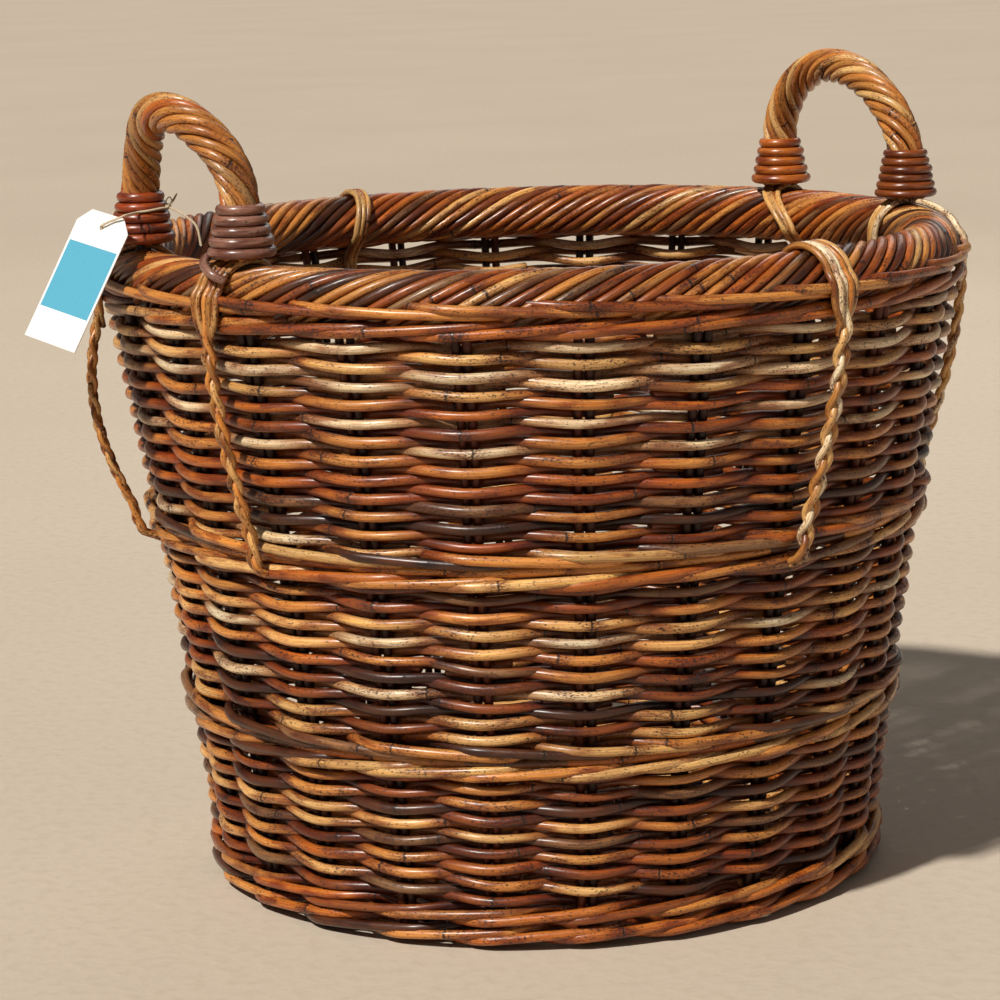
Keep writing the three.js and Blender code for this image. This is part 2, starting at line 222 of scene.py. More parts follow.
def rope_painted_shade(points):
    out = np.hypot(points[:, 0], points[:, 1]) - RIM_RADIUS
    from_middle = np.hypot(out, points[:, 2] - RIM_HEIGHT)
    return unshaded_share(from_middle, dark=RIM_HALF - 5.0, shade_free=RIM_HALF - 1.2, least=0.2)


def painted_shade_round(line, radius):
    """Painted shade inside a bundle of that radius round a line, darker towards the line."""
    def painted_shade(points):
        from_line = np.min(np.linalg.norm(points[:, None] - line[None], axis=2), axis=1)
        return unshaded_share(from_line, dark=radius - 4.5, shade_free=radius - 0.8, least=0.25)
    return painted_shade


# ---------- rods ----------
def carried_frames(line):
    """Two unit vectors across the line at each point, carried along it without twisting."""
    tangent = np.gradient(line, axis=0)
    tangent /= np.linalg.norm(tangent, axis=1, keepdims=True)
    start = np.cross(tangent[0], UP)
    if np.linalg.norm(start) < 0.1:
        start = np.cross(tangent[0], (0.0, 1.0, 0.0))
    normal = np.empty_like(line)
    normal[0] = start / np.linalg.norm(start)
    for i in range(1, len(line)):
        carried = normal[i - 1] - tangent[i] * (normal[i - 1] @ tangent[i])
        normal[i] = carried / np.linalg.norm(carried)
    return tangent, normal, np.cross(tangent, normal)


def twisted(line, reach, around):
    """A strand that far from the line, at those angles round it."""
    _, normal, binormal = carried_frames(line)
    out = normal * np.cos(around)[:, None] + binormal * np.sin(around)[:, None]
    return line + np.broadcast_to(reach, len(line))[:, None] * out


class Rods:
    """Round rods gathered into one closed mesh, with what the materials read at each point.

    tone is the rod's colour; grain is (along, across, across), a place on and in the rod, moved on
    at random from rod to rod; nodes is (place of a node, distance between nodes, a random share).
    """

    SWELL = 0.07  # how much thicker a rod is at its nodes
    SWELL_LENGTH = 1.6
    NODE_RINGS = np.array([-2.4, -0.9, 0.0, 0.9, 2.4])  # a node's own rings of points
    CLOSEST_RINGS = 0.35
    CLEAR_OF_END = 1.0  # a node's rings stay this far from the rod's ends
    BEVEL = 0.3  # how much longer and narrower an end is, as a share of the radius
    BEVEL_GRAIN = 1.0  # how far the grain runs on over the bevel
    GRAIN_RANGE = 5000
    FIRST_NODE = (0.2, 0.8)  # its place, as a share of the distance between two
    NO_NODES = (-9e5, 1e6)  # a node's place and the distance to the next, if there are none

    def __init__(self, seed):
        self.random = np.random.default_rng(seed)
        self.points = []
        self.tones = []
        self.grains = []
        self.nodes = []
        self.faces = []
        self.face_cells = []
        self.count = 0
        self.cells = 0
        self.length = 0.0
        self.girth = 0.0

    def cane(self, line, radius, tones, node_gaps, sides=10):
        """A rod in one of the tones, whose nodes are apart by a distance from the range."""
        tone = pick_tone(self.random, tones)
        self.add(line, radius, tone, sides, self.random.uniform(*node_gaps))

    def add(self, line, radius, tone, sides=10, node_gap=0.0):
        """One rod along a line of points. radius is a number or one for each point."""
        line = np.asarray(line, float)
        radius = np.broadcast_to(np.asarray(radius, float), len(line))
        along = distance_along(line)
        phase = self.random.uniform(*self.FIRST_NODE) * node_gap
        share = self.random.random()
        if node_gap:
            line, radius, along = self.swollen(line, radius, along, phase, node_gap)
        tangent, normal, binormal = carried_frames(line)

        ends_twice = np.r_[0, 0:len(line), len(line) - 1]
        line, radius, along, normal, binormal = (
            values[ends_twice] for values in (line, radius, along, normal, binormal))
        for end, way in ((0, -1), (-1, 1)):
            line[end] += way * tangent[end] * radius[end] * self.BEVEL
            radius[end] *= 1 - self.BEVEL
            along[end] += way * self.BEVEL_GRAIN

        rings = len(line)
        turn = np.arange(sides) * 2 * math.pi / sides
        cos, sin = np.cos(turn), np.sin(turn)
        out = normal[:, None] * cos[None, :, None] + binormal[:, None] * sin[None, :, None]
        self.points.append((line[:, None] + out * radius[:, None, None]).reshape(-1, 3))
        start = self.random.uniform(0, self.GRAIN_RANGE, 3)
        across = radius[:, None]
        grain = np.stack(np.broadcast_arrays(along[:, None], across * cos, across * sin), axis=-1)
        self.grains.append((grain + start).reshape(-1, 3))
        nodes = (phase + start[0], node_gap) if node_gap else self.NO_NODES
        self.nodes.append(np.tile([*nodes, share], (rings * sides, 1)))
        self.tones.append(np.tile(tone, (rings * sides, 1)))
        self.add_faces(rings, sides, cos, sin)
        self.length += along[-1] - along[0]
        self.girth += 2 * math.pi * radius.mean() * (along[-1] - along[0])

    def swollen(self, line, radius, along, phase, node_gap):
        """The rod with rings of points at its nodes, where it is thicker."""
        nodes = np.arange(phase, along[-1] - 3 * self.CLEAR_OF_END, node_gap)
        extra = (nodes[:, None] + self.NODE_RINGS).ravel()
        extra = extra[(extra > self.CLEAR_OF_END) & (extra < along[-1] - self.CLEAR_OF_END)]
        stations = np.unique(np.concatenate([along, extra]))
        stations = stations[np.concatenate([[True], np.diff(stations) > self.CLOSEST_RINGS])]
        line = np.stack([np.interp(stations, along, line[:, k]) for k in range(3)], axis=1)
        off = np.abs((stations - phase + node_gap / 2) % node_gap - node_gap / 2)
        swell = 1 + self.SWELL * np.exp(-((off / self.SWELL_LENGTH) ** 2))
        return line, np.interp(stations, along, radius) * swell, stations

    def add_faces(self, rings, sides, cos, sin):
        """The rod's skin and its two end discs, each with its cell of the bake map."""
        ring, side = np.meshgrid(np.arange(rings - 1), np.arange(sides), indexing="ij")
        ahead = (side + 1) % sides
        first = self.count + ring * sides
        quads = np.stack([first + side, first + ahead, first + ahead + sides, first + side + sides], -1)
        self.faces += quads.reshape(-1, 4).tolist()
        u = np.stack([ring, ring, ring + 1, ring + 1], -1) - ring[..., None]
        v = np.stack([side, side + 1, side + 1, side], -1) / sides
        cell = self.cells + ring
        self.face_cells.append((np.repeat(cell.ravel(), 4), u.ravel(), v.ravel()))
        self.faces.append((self.count + np.arange(sides))[::-1].tolist())
        self.faces.append((self.count + (rings - 1) * sides + np.arange(sides)).tolist())
        for middle in (0.3, 0.7):  # the two discs lie side by side in one cell
            disc = np.full(sides, self.cells + rings - 1)
            self.face_cells.append((disc, middle + 0.15 * cos, 0.5 + 0.4 * sin))
        self.count += rings * sides
        self.cells += rings

    def piece(self, name, slot, nodes, body="basket", painted_shade=None):
        """Makes the object, darkened in its hollows by the painted shade if given, in the place of the CAD
        nodes.
        """
        mesh = bpy.data.meshes.new(name)
        points = np.concatenate(self.points)
        mesh.from_pydata(points * MM, [], self.faces)
        tones = np.concatenate(self.tones)
        # painted shade: tones darken, and turn redder, where a rod lies in a hollow
        if painted_shade:
            tones = tones * painted_shade(points)[:, None] ** SHADE_TINT
        colours = np.column_stack([tones, np.ones(len(tones))])
        tone = mesh.attributes.new("tone", "FLOAT_COLOR", "POINT")
        tone.data.foreach_set("color", colours.astype(np.float32).ravel())
        add_vectors(mesh, "grain", np.concatenate(self.grains))
        add_vectors(mesh, "nodes", np.concatenate(self.nodes))
        self.add_bake_map(mesh)
        mesh.shade_smooth()
        mesh.materials.append(materials[slot])
        add_piece(name, mesh, nodes, body)

    def add_bake_map(self, mesh):
        """Lays the rods out as strips, one below the other, so that a texture can be baked on them."""
        cell, u, v = (np.concatenate(values) for values in zip(*self.face_cells))
        segment = self.length / self.cells
        girth = self.girth / self.length
        rows = max(1, math.ceil(math.sqrt(self.cells * segment / girth)))
        columns = math.ceil(self.cells / rows)
        margin = 0.04
        x = (cell % columns + u) / columns
        y = (cell // columns + margin + v * (1 - 2 * margin)) / rows
        layer = mesh.uv_layers.new(name="OFBake")
        layer.data.foreach_set("uv", np.stack([x, y], -1).astype(np.float32).ravel())


# ---------- materials ----------
class Shader:
    """A node material under construction: each call adds a node and returns its output."""

    def __init__(self, name):
        self.material = bpy.data.materials.new(name)
        self.material.use_nodes = True
        self.tree = self.material.node_tree
        self.surface = self.tree.nodes["Principled BSDF"]

    def link(self, value, socket):
        if isinstance(value, bpy.types.NodeSocket):
            self.tree.links.new(value, socket)
        else:
            socket.default_value = value

    def node(self, kind, inputs, output=0, **settings):
        """A node whose inputs, by name or number, are values or other nodes' outputs."""
        node = self.tree.nodes.new("ShaderNode" + kind)
        for name, value in settings.items():
            setattr(node, name, value)
        for socket, value in inputs.items():
            self.link(value, node.inputs[socket])
        return node.outputs[output]

    def attribute(self, name, output="Vector"):
        return self.node("Attribute", {}, output, attribute_name=name)

    def object_place(self):
        return self.node("TexCoord", {}, "Object")

    def split(self, vector):
        return [self.node("SeparateXYZ", {0: vector}, axis) for axis in "XYZ"]

    def math(self, operation, *values):
        return self.node("Math", dict(enumerate(values)), operation=operation)

    def plus(self, first, second):
        return self.math("ADD", first, second)

    def minus(self, first, second):
        return self.math("SUBTRACT", first, second)

    def times(self, first, second):
        return self.math("MULTIPLY", first, second)

    def noise(self, vector, scale, detail=2.0, roughness=0.5):
        """Noise as fine along each axis as its scale says."""
        scaled = self.node("VectorMath", {0: vector, 1: scale}, operation="MULTIPLY")
        inputs = {"Vector": scaled, "Scale": 1.0, "Detail": detail, "Roughness": roughness}
        return self.node("TexNoise", inputs, "Fac")

    def ramp(self, *inputs):
        """A smooth step: a value, its low and its high, and what those become if not 0 and 1."""
        return self.node("MapRange", dict(enumerate(inputs)), interpolation_type="SMOOTHSTEP")

    def mix(self, factor, first, second, blend="MIX"):
        inputs = {"Factor": factor, 6: first, 7: second}
        return self.node("Mix", inputs, 2, data_type="RGBA", blend_type=blend)

    def bump(self, height, distance):
        return self.node("Bump", {"Height": height, "Distance": distance}, "Normal")

    def set(self, **inputs):
        for name, value in inputs.items():
            self.link(value, self.surface.inputs[name.replace("_", " ")])
        return self.material


FIBRE_BROWN = paint(0xB57A48)
STREAK_CREAM = paint(0xEBC795)
BLOTCH_BROWN = paint(0x9C6036)
SPECK_BLACK = paint(0x2A140A)
SMOKE_BROWN = paint(0x7A4A2C)
NODE_BLACK = paint(0x1E0E08)


def rattan(name, roughness=0.42, coat=0.5, speckle=1.0, mottle=0.8):
    """Lacquered cane: the rod's own colour with long fibres, blotches, dark specks and node rings."""
    cane = Shader(name)
    tone = cane.attribute("tone", "Color")
    grain = cane.attribute("grain")
    place, gap, share = cane.split(cane.attribute("nodes"))
    along = cane.split(grain)[0]

    fibres = cane.noise(grain, (0.05, 1.5, 1.5), detail=4.0, roughness=0.65)
    streaks = cane.noise(grain, (0.02, 0.4, 0.4))
    blotches = cane.noise(grain, (0.035, 0.12, 0.12), detail=3.0)
    specks = cane.noise(grain, (0.55, 1.0, 1.0), roughness=0.6)

    colour = cane.mix(cane.ramp(fibres, 0.4, 0.64, 0.0, 0.6), tone, FIBRE_BROWN, "MULTIPLY")
    colour = cane.mix(cane.ramp(streaks, 0.52, 0.68, 0.0, 0.6), colour, STREAK_CREAM, "SOFT_LIGHT")
    colour = cane.mix(cane.ramp(blotches, 0.45, 0.66, 0.0, mottle), colour, BLOTCH_BROWN, "MULTIPLY")
    speckled = cane.ramp(share, 0.0, 1.0, 0.2, speckle)
    patches = cane.times(cane.ramp(blotches, 0.38, 0.58, 0.2, 1.0), speckled)
    threshold = cane.minus(0.64, cane.times(patches, 0.1))
    dots = cane.times(cane.ramp(specks, threshold, cane.plus(threshold, 0.03)), 0.85)
    colour = cane.mix(dots, colour, SPECK_BLACK)

    turns = cane.math("DIVIDE", cane.minus(along, place), gap)
    off = cane.times(cane.minus(turns, cane.math("ROUND", turns)), gap)
    wobble = cane.times(cane.minus(streaks, 0.5), 2.5)
    from_node = cane.math("ABSOLUTE", cane.plus(off, wobble))
    ring = cane.ramp(from_node, 0.35, 0.95, 1.0, 0.0)
    smoke = cane.times(cane.ramp(from_node, 1.0, 14.0, 0.8, 0.0), cane.ramp(specks, 0.3, 0.6))
    colour = cane.mix(smoke, colour, SMOKE_BROWN, "MULTIPLY")
    colour = cane.mix(cane.times(ring, 0.9), colour, NODE_BLACK)

    height = cane.plus(fibres, cane.times(dots, -0.5))
    height = cane.plus(height, cane.times(ring, -1.2))
    return cane.set(
        Base_Color=colour,
        Roughness=cane.ramp(cane.plus(fibres, dots), 0.3, 1.2, roughness - 0.06, roughness + 0.25),
        Coat_Weight=coat,
        Coat_Roughness=0.27,
        Specular_IOR_Level=0.3,
        Normal=cane.bump(height, 0.00028),
    )


def buried_cane():
    """The hoop and the cores inside the ropes: dull brown cane, seen only between rods."""
    cane = Shader("buried_cane")
    fibres = cane.noise(cane.object_place(), (700, 700, 160), detail=4.0)
    broad = cane.noise(cane.object_place(), (60, 60, 60))
    colour = cane.mix(cane.ramp(fibres, 0.35, 0.65), paint(0x6E4A2C), paint(0x3F2817))
    colour = cane.mix(cane.ramp(broad, 0.4, 0.7, 0.0, 0.5), colour, paint(0x2C1A10))
    return cane.set(Base_Color=colour, Roughness=0.6, Normal=cane.bump(fibres, 0.0004))


def twine_material():
    """Natural twine: pale hairy fibres that run along each ply."""
    twine = Shader("twine")
    tone = twine.attribute("tone", "Color")
    grain = twine.attribute("grain")
    fibres = twine.noise(grain, (0.9, 9.0, 9.0), detail=4.0, roughness=0.7)
    dust = twine.noise(grain, (0.25, 0.6, 0.6))
    colour = twine.mix(twine.ramp(fibres, 0.4, 0.65, 0.0, 0.6), tone, paint(0x9C7B52), "MULTIPLY")
    colour = twine.mix(twine.ramp(dust, 0.5, 0.7, 0.0, 0.35), colour, paint(0xEFE3CC))
    return twine.set(
        Base_Color=colour,
        Roughness=0.9,
        Sheen_Weight=0.4,
        Normal=twine.bump(fibres, 0.0002),
    )


def card_material(half_width, panel_top, panel_bottom):
    """White card with a plain blue panel on both faces, from one distance below the hole to another."""
    edge = 0.08  # half the width over which the ink's edge fades
    card = Shader("card")
    place = card.attribute("place")
    across, up, _ = card.split(place)
    pulp = card.noise(place, (2.2, 2.2, 2.2), detail=5.0, roughness=0.7)
    ink = card.noise(place, (0.9, 0.9, 0.9), detail=3.0)
    from_middle = card.math("ABSOLUTE", across)
    inside = card.ramp(from_middle, half_width - edge, half_width + edge, 1.0, 0.0)
    below = card.ramp(up, -panel_top - edge, -panel_top + edge, 1.0, 0.0)
    above = card.ramp(up, -panel_bottom - edge, -panel_bottom + edge)
    panel = card.times(inside, card.times(below, above))
    paper = card.mix(card.ramp(pulp, 0.4, 0.65, 0.0, 0.5), paint(0xEFEFF0), paint(0xE4E3E1))
    blue = card.mix(card.ramp(ink, 0.4, 0.65), paint(0x52A3C0), paint(0x5AABC6))
    return card.set(
        Base_Color=card.mix(panel, paper, blue),
        Roughness=card.minus(0.62, card.times(panel, 0.12)),
        Normal=card.bump(pulp, 0.00004),
    )


def floor_material():
    floor = Shader("floor")
    broad = floor.noise(floor.object_place(), (1.3, 1.3, 1.3), detail=4.0)
    fine = floor.noise(floor.object_place(), (90, 90, 90), detail=4.0)
    colour = floor.mix(floor.ramp(broad, 0.3, 0.7), paint(0xC2B4A3), paint(0xBEB09F))
    colour = floor.mix(floor.ramp(fine, 0.45, 0.7, 0.0, 0.3), colour, paint(0xAFA08C))
    return floor.set(Base_Color=colour, Roughness=0.85, Normal=floor.bump(fine, 0.0006))


# ---------- the woven wall ----------
WEAVER_RADIUS = 3.25
WEAVE_REACH = 6.3  # how far a weaver's centre runs outside and inside the stakes
OUTER_DIP = 1.5  # a weaver hangs this much lower in front of a stake than between two
INNER_DIP = 3.3  # and this much lower behind a stake
STEPS_PER_STAKE = 12
WEAVER_NODES = (120, 300)


def to_and_fro(azimuth):
    """1 where the azimuth is 0 and -1 at the next stakes or spokes, as plain weave goes."""
    return np.cos(np.pi * azimuth / STAKE_SPACING)


def weave_row(rods, z, side, tones):
    """One row of plain weave, of two or three rods that meet behind a stake."""
    join_from, join_to = 0.3, 1.3  # an end comes into line between these distances, in stakes
    join_rise = 1.6  # how far a rod's start lies above the row, and its end below
    join_tuck = 1.4  # how far its start lies further in
    random = rods.random
    inner_stakes = np.arange(0, STAKES, 2) + (1 if side > 0 else 0)
    joins = np.sort(random.choice(inner_stakes, random.integers(2, 4), replace=False))
    for start, end in zip(joins, np.roll(joins, -1)):
        end = end if end > start else end + STAKES
        overlap = random.uniform(0.3, 0.42, 2)
        place = np.arange(start - overlap[0], end + overlap[1], 1 / STEPS_PER_STAKE)
        azimuth = FIRST_STAKE + place * STAKE_SPACING
        swing = side * to_and_fro(azimuth - FIRST_STAKE)
        near_start = 1 - smooth_step(join_from, join_to, place - start)
        near_end = smooth_step(-join_to, -join_from, place - end)
        knots = int(end - start) + 2
        dip = np.where(swing > 0, OUTER_DIP, INNER_DIP) * swing**2
        height = z - dip + wander(random, len(place), 0.45, knots) + join_rise * (near_start - near_end)
        reach = WEAVE_REACH * swing - join_tuck * near_start + wander(random, len(place), 0.35, knots)
        radius = WEAVER_RADIUS * random.uniform(0.88, 1.1) * np.linspace(1.05, 0.93, len(place))
        rods.cane(ring_points(azimuth, wall_middle(height) + reach, height), radius, tones, WEAVER_NODES)


def weave_zone(node, pitch, pieces, seed, rows_below=0, rows_above=0, pale_above=math.inf):
    """A zone of plain weave that may go on behind the walings, and be pale above a share of its height."""
    low, high = box_mm(node)
    rows = round((high[2] - low[2]) / pitch)
    step = (high[2] - low[2]) / rows
    for i, share in enumerate(np.array_split(np.arange(-rows_below, rows + rows_above), pieces)):
        rods = Rods(seed + i)
        for row in share:
            tones = PALE_TONES if row / rows > pale_above else WEAVE_TONES
            weave_row(rods, low[2] + (row + 0.5) * step, 1 if row % 2 else -1, tones)
        rods.piece(f"{node}_rows_{i + 1}", "weave_rattan", [node], painted_shade=wall_painted_shade)


# ---------- waling: three rods a course, each out over two stake pairs and in behind one ----------
STROKE = 3  # stake pairs in a weaver's cycle
OVER = 2  # stake pairs that a stroke passes in front of
STROKE_SLANT = 3.4  # a stroke climbs or falls this much on each side of its course's middle
WALER_RADIUS = 3.2
WALER_NODES = (110, 260)
BEHIND = 6.0  # how far a weaver's centre runs inside the stakes
COMES_OUT = np.array([-0.28, 0.5])  # the part of the cycle in which a stroke comes out
GOES_IN = np.array([1.55, 2.3])
LAP = 1.7  # how much further in a stroke is after each stake, so that the next one lies over it
COURSE_RODS = 3  # end to end, for each of a course's three weavers
# a course: its height in the band (0 to 1), how far its strokes stand out, and its slant, which is
# above 0 where strokes fall to the right
FOOT_COURSES = [(0.31, 9.5, -1.2), (0.72, 9.0, -1.2)]
WALL_COURSES = [(0.26, 10.0, -1), (0.76, 10.0, 1), (0.52, 5.0, 0)]
TOP_COURSES = [(0.40, 8.0, -1), (0.79, 8.0, 1)]


def waling_path(place, front):
    """Reach outside the stakes and slant (1 at a stroke's start, -1 at its end), by place in stakes.

    A stroke comes out at 0, passes stakes at 0.5 and 1.5, goes in at 2 and passes behind at 2.5.
    """
    u = place % STROKE
    out = smooth_step(*COMES_OUT, u) * (1 - smooth_step(*GOES_IN, u)) + smooth_step(*(COMES_OUT + STROKE), u)
    lapped = np.minimum(u, OVER) - 0.9
    reach = -BEHIND + out * (BEHIND + front) - LAP * lapped * out
    slant = np.where(u < OVER, 1 - u, -1 + 2 * smooth_step(OVER, STROKE, u))
    return reach, slant


def waling_course(rods, z, front, slant):
    """One course of a waling band, round the whole wall."""
    lead = 0.62  # how far before a stroke's start a rod begins, in stakes
    short = 0.38  # how far before a stroke's end it stops
    random = rods.random
    strokes = STAKES // STROKE
    for weaver in range(STROKE):
        start = int(random.integers(0, strokes))
        lengths = random.multinomial(strokes - COURSE_RODS, [1 / COURSE_RODS] * COURSE_RODS) + 1
        for length in lengths:
            place = np.arange(-lead, STROKE * length - short, 1 / STEPS_PER_STAKE)
            reach, fall = waling_path(place, front)
            waver = wander(random, len(place), 0.5, length * 3)
            ends = 1 - smooth_step(0, 0.4, place + lead) - smooth_step(-0.4, 0, place - place[-1])
            height = z + slant * STROKE_SLANT * fall + waver + 1.5 * ends
            azimuth = FIRST_STAKE + (weaver - 0.5 + STROKE * start + place) * STAKE_SPACING
            line = ring_points(azimuth, wall_middle(height) + reach, height)
            rods.cane(line, WALER_RADIUS * random.uniform(0.9, 1.1), WALING_TONES, WALER_NODES)
            start += int(length)


def waling_band(node, seed, courses):
    low, high = box_mm(node)
    rods = Rods(seed)
    for share, front, slant in courses:
        waling_course(rods, low[2] + share * (high[2] - low[2]), front, slant)
    rods.piece(node + "_rods", "waling_rattan", [node], painted_shade=wall_painted_shade)


# ---------- stakes ----------
def build_stakes():
    """Pairs of stakes: a tail beside the spokes, a bend at the foot, and the wall up into the rope."""
    foot_bend = 9.0
    top = RIM_HEIGHT - 0.4 * RIM_HALF
    tail_start = np.hypot(*points_mm(stake_nodes[0])[:, :2].T).min()
    tail_height = stake_low[2] + STAKE_RADIUS
    bend_top = tail_height + foot_bend
    bend_start = wall_middle(bend_top) - foot_bend
    bend = np.radians(np.linspace(0, 90, 7))
    tail = np.linspace(tail_start, bend_start, 6)[:-1]
    rise = np.linspace(bend_top, top, 34)[1:]
    lean = (wall_middle(top) - RIM_RADIUS - 6) * smooth_step(stake_high[2] + 6, top, rise)
    radial = np.concatenate([tail, bend_start + foot_bend * np.sin(bend), wall_middle(rise) - lean])
    height = np.concatenate([np.full(len(tail), tail_height), bend_top - foot_bend * np.cos(bend), rise])
    rods = Rods(3)
    for pair in range(STAKES):
        for side in (-1, 1):
            spread = side * rods.random.uniform(3.3, 3.8)
            sway = wander(rods.random, len(height), 0.5, 7)
            azimuth = FIRST_STAKE + pair * STAKE_SPACING + np.degrees((spread + sway) / radial)
            radius = STAKE_RADIUS * rods.random.uniform(0.88, 1.02)
            rods.cane(ring_points(azimuth, radial, height), radius, DARK_TONES, (90, 200), sides=8)
    rods.piece("stakes", "stake_rattan", stake_nodes, painted_shade=wall_painted_shade)


# ---------- rim ----------
def build_rope():
    """The rope border: short rods, each laid once round the hoop beside the last."""
    strands = 15  # rods side by side in the rope
    wraps = 135
    rod_radius = 3.05
    turn = np.linspace(-112, 268, 46)  # a rod's ends overlap under the rim, and are tucked in there
    tuck = 2.6 * near_ends(turn, 42)
    around = np.radians(turn)
    for half, name in enumerate(("rim_rope_front", "rim_rope_back")):
        rods = Rods(40 + half)
        for wrap in np.array_split(np.arange(wraps), 2)[half]:
            azimuth = -180 + wrap * 360 / wraps + (turn + 90) * strands / wraps
            lay = RIM_HALF - rod_radius - tuck + rods.random.normal(0, 0.18)
            line = ring_points(azimuth, RIM_RADIUS + lay * np.cos(around), RIM_HEIGHT + lay * np.sin(around))
            rods.cane(line, rod_radius * rods.random.uniform(0.93, 1.04), ROPE_TONES, (150, 420))
        rods.piece(name, "rope_rattan", ["rim_rope"], painted_shade=rope_painted_shade)


# ---------- handles ----------
HANDLE_SKEW = 0.055  # how far the first leg's side of the arch leans over, as a share of its span
ROPE_OF_WRAP = 0.615  # a handle's radius as a share of its wrap's at the foot


def leg_foot(leg):
    low, high = box_mm(leg + "_wrap")
    return (low + high)[:2] / 2


def handle_line(handle, legs):
    """Centre line of a handle: up one leg, over an elliptical arch, down the other."""
    start, end = (leg_foot(handle + "_" + leg) for leg in legs)
    wrap_low, wrap_high = box_mm(handle + "_" + legs[0] + "_wrap")
    points = points_mm(handle + "_rope")
    highest = points[:, 2].max()
    rope_radius = (wrap_high[0] - start[0]) * ROPE_OF_WRAP
    crown = points[points[:, 2] > highest - 0.5][:, :2].mean(axis=0)
    middle = (start + end) / 2
    angle = np.radians(np.linspace(0, 180, 60))
    rise = np.sin(angle)
    side = middle + (start - middle) * np.cos(angle)[:, None] + (crown - middle) * (rise**2)[:, None]
    side += (end - start) * (HANDLE_SKEW * rise * (1 + np.cos(angle)))[:, None]
    arch = highest - rope_radius - wrap_high[2]
    leg_heights = np.linspace(wrap_low[2], wrap_high[2], 10)[:-1]
    up = [(*start, z) for z in leg_heights]
    down = [(*end, z) for z in reversed(leg_heights)]
    return np.vstack([up, np.column_stack([side, wrap_high[2] + arch * rise]), down]), rope_radius


def build_handle(handle, legs, seed):
    strands = 9
    rod_radius = 3.0
    turn_length = 100.0
    line, rope_radius = handle_line(handle, legs)
    along = distance_along(line)
    flare = 2.2 * near_ends(along, 26)
    rods = Rods(seed)
    for strand in range(strands):
        around = 2 * math.pi * (strand / strands - along / turn_length)
        around += wander(rods.random, len(along), 0.06, 8)
        lay = rope_radius - rod_radius + 0.4 + flare + wander(rods.random, len(along), 0.25, 8)
        thick = rod_radius * rods.random.uniform(0.92, 1.06)
        rods.cane(twisted(line, lay, around), thick, HANDLE_TONES, (110, 260))
    rods.piece(handle + "_twist", "handle_rattan", [handle + "_rope"],
               painted_shade=painted_shade_round(spline(line, 240), rope_radius))


WRAPS = (  # leg, tone, turns, and whether the binding's tail crosses the tie below it
    ("left_handle_back", "rust", 5, False),
    ("left_handle_front", "mauve", 5, True),
    ("right_handle_front", "chestnut", 6, False),
    ("right_handle_back", "amber", 5, False),
)


def build_wrap(leg, seed, tone, turns, tail):
    """The coil that binds a handle's leg, wider at its foot."""
    ends_at = 90  # azimuth of the coil's ends, which are tucked in towards the leg
    low, high = box_mm(leg + "_wrap")
    foot = leg_foot(leg)
    wide = high[0] - foot[0] + 2.2
    narrower = 0.28 * wide
    rod_radius = (high[2] - low[2]) / turns / 2 + 0.1
    angle = np.linspace(0, 360 * turns, turns * 30)
    turned = angle / angle[-1] * turns
    level = np.clip(np.floor(turned) + smooth_step(0.75, 1.0, turned % 1), 0, turns - 1) / (turns - 1)
    height = low[2] + rod_radius + level * (high[2] - low[2] - 2 * rod_radius)
    rods = Rods(seed)
    tuck = 8 * near_ends(angle, 20)
    reach = wide - narrower * level - rod_radius - tuck + wander(rods.random, len(angle), 0.3, 16)
    line = np.column_stack([foot + ring_points(ends_at + angle, reach, 0.0)[:, :2], height])
    rods.add(line, rod_radius, linear(TONES[tone]) * rods.random.uniform(0.9, 1.05), node_gap=400)
    if tail:
        add_tail(rods, np.append(foot, low[2]), wide, rod_radius, linear(TONES[tone]))
    rods.piece(leg + "_coil", "wrap_rattan", [leg + "_wrap"])


def add_tail(rods, foot, wide, rod_radius, tone):
    """The binding's end, which goes down across the tie outside the leg."""
    path = ((-64, -4, 2.5), (-40, 1.0, -0.5), (-18, 4.0, -4.0), (2, 4.5, -8.5), (16, 1.5, -12.0))
    outward = azimuth_of(foot)
    points = [foot + ring_points(outward + turn, wide + further, drop) for turn, further, drop in path]
    rods.add(spline(points, 24), 0.85 * rod_radius, tone)


# ---------- ties ----------
TIES = {  # rod radius, half the fan's width, and the sideways shift inside, at the gather and at the foot
    "left_handle_back_tie": (2.0, 7.0, 14, -30, -26),
    "left_handle_front_tie": (2.1, 10.0, 0, -8, 4),
    "right_handle_front_tie": (2.1, 8.0, 6, -55, -10),
    "right_handle_back_tie": (2.1, 8.0, -26, 0, 0),
    "front_side_tie": (2.4, 9.0, 0, 3, -14),
    "back_side_tie": (2.1, 5.5, 8, 0, 0),
}
TIE_START = 380.0  # height inside the wall where the strands come up
PLAIT_LENGTH = 48.0  # along the plait, until a strand is back where it started


def fan_lines(rod_radius, half_fan, shift_inside, shift_gather, outside, gather):
    """For a tie's strands over the rope border: middle, half spread, radius and height at each point."""
    inner, top, outer = 205, 110, 18  # degrees round the rope border
    over = np.linspace(inner, outer, 14)
    around = np.radians(over)
    lift = RIM_HALF + rod_radius + 0.3
    inside = wall_middle(TIE_START + 2) - WALL_HALF - rod_radius
    radial = [inside, inside - 1, *(RIM_RADIUS + lift * np.cos(around)), outside, outside]
    height = [TIE_START, TIE_START + 11, *(RIM_HEIGHT + lift * np.sin(around)), gather + 24, gather + 11]
    spread = half_fan * np.array([0.5, 0.55, *np.linspace(0.6, 0.95, len(over)), 1.0, 0.8])
    going_in = np.array([1, 1, *smooth_step(top, inner, over), 0, 0])
    going_down = np.array([0, 0, *(1 - smooth_step(outer, top, over)), 1, 1])
    return shift_inside * going_in + shift_gather * going_down, spread, np.array(radial), np.array(height)


